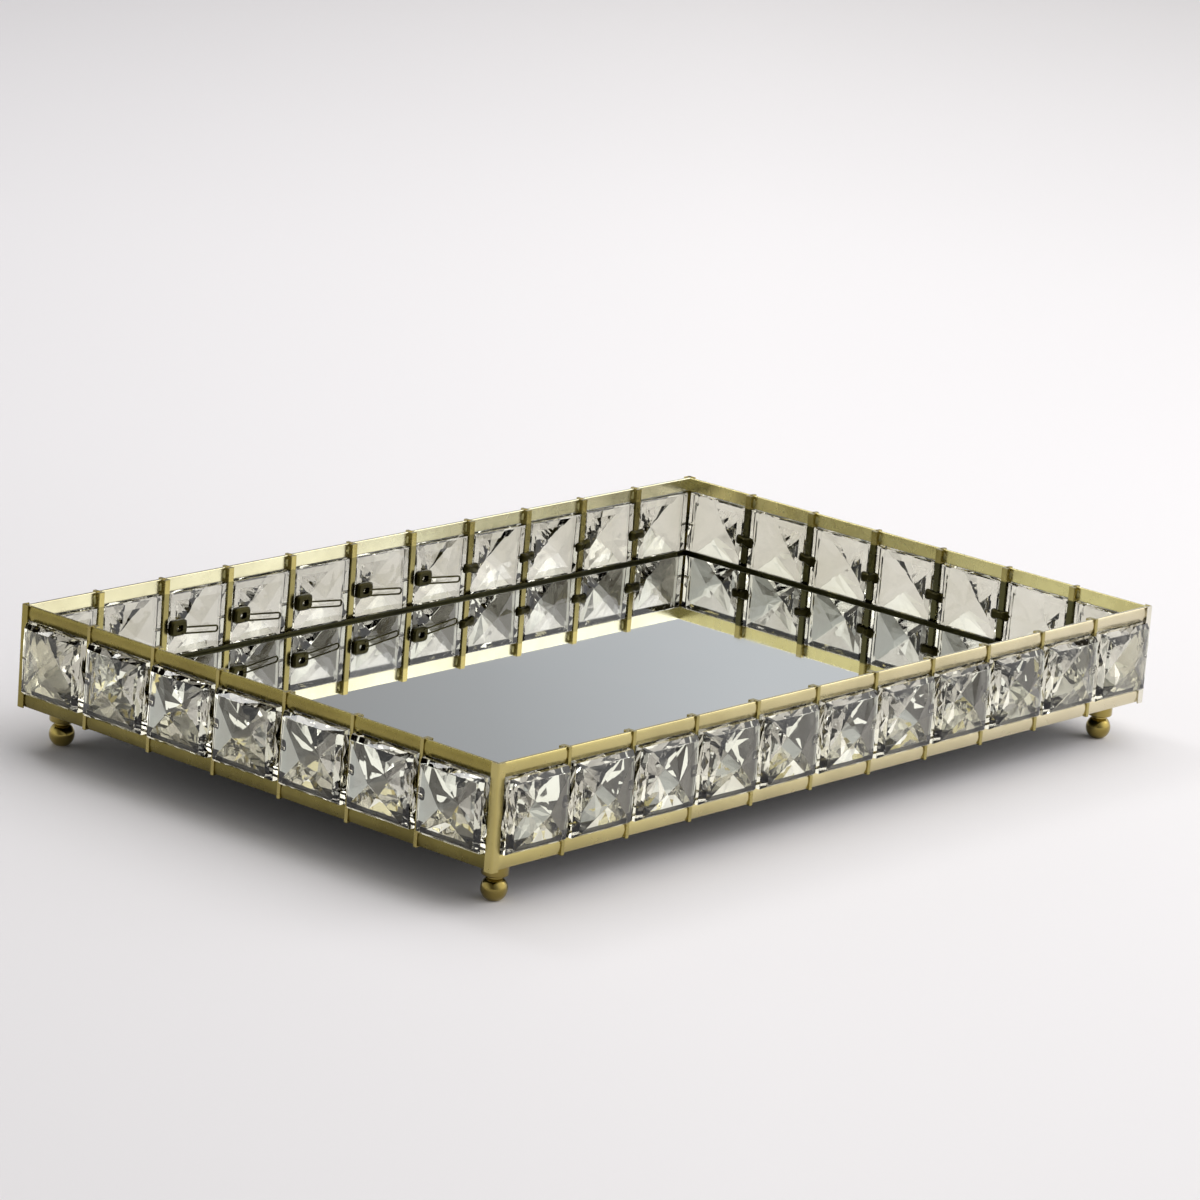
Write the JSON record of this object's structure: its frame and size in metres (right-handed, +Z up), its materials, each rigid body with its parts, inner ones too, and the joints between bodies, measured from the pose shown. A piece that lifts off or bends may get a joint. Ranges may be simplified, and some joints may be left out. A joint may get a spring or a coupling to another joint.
{
  "type": "dresser vanity tray",
  "caption": "Rectangular vanity tray with walls of faceted crystals in a gold metal frame, a mirror floor and ball feet.",
  "frame": {"origin": "on the surface the feet stand on, under the middle of the tray", "axes": "+X along the long side, +Y along the short side, +Z up"},
  "size_m": [0.3138, 0.2058, 0.0432],
  "materials": {
    "gold_rail": "polished pale gold plating",
    "gold_bar": "polished pale gold plating",
    "gold_link": "darker gold plating, less polished",
    "gold_pan": "satin gold plating on sheet",
    "gold_foot": "polished gold plating",
    "crystal": "clear, cut and polished",
    "mirror": "silvered glass",
    "pin_steel": "drawn wire",
    "screw_steel": "zinc plated",
    "foam_pad": "adhesive foam sheet"
  },
  "bodies": {
    "root": {"top_rail_front": "gold_rail", "bottom_rail_front": "gold_rail", "crystal_front_01": "crystal", "crystal_front_02": "crystal", "crystal_front_03": "crystal", "crystal_front_04": "crystal", "crystal_front_05": "crystal", "crystal_front_06": "crystal", "crystal_front_07": "crystal", "crystal_front_08": "crystal", "crystal_front_09": "crystal", "crystal_front_10": "crystal", "crystal_front_11": "crystal", "top_rail_right": "gold_rail", "bottom_rail_right": "gold_rail", "crystal_right_01": "crystal", "crystal_right_02": "crystal", "crystal_right_03": "crystal", "crystal_right_04": "crystal", "crystal_right_05": "crystal", "crystal_right_06": "crystal", "crystal_right_07": "crystal", "top_rail_back": "gold_rail", "bottom_rail_back": "gold_rail", "crystal_back_01": "crystal", "crystal_back_02": "crystal", "crystal_back_03": "crystal", "crystal_back_04": "crystal", "crystal_back_05": "crystal", "crystal_back_06": "crystal", "crystal_back_07": "crystal", "crystal_back_08": "crystal", "crystal_back_09": "crystal", "crystal_back_10": "crystal", "crystal_back_11": "crystal", "top_rail_left": "gold_rail", "bottom_rail_left": "gold_rail", "crystal_left_01": "crystal", "crystal_left_02": "crystal", "crystal_left_03": "crystal", "crystal_left_04": "crystal", "crystal_left_05": "crystal", "crystal_left_06": "crystal", "crystal_left_07": "crystal", "corner_post_front_left": "gold_rail", "corner_post_front_right": "gold_rail", "corner_post_back_right": "gold_rail", "corner_post_back_left": "gold_rail", "divider_bars": "gold_bar", "link_clasps": "gold_link", "corner_links": "gold_link", "link_pins": "pin_steel", "base_pan": "gold_pan", "mirror_pad": "foam_pad", "mirror": "mirror", "foot_front_left": "gold_foot", "foot_front_right": "gold_foot", "foot_back_right": "gold_foot", "foot_back_left": "gold_foot", "foot_screws": "screw_steel"}
  },
  "joints": []
}
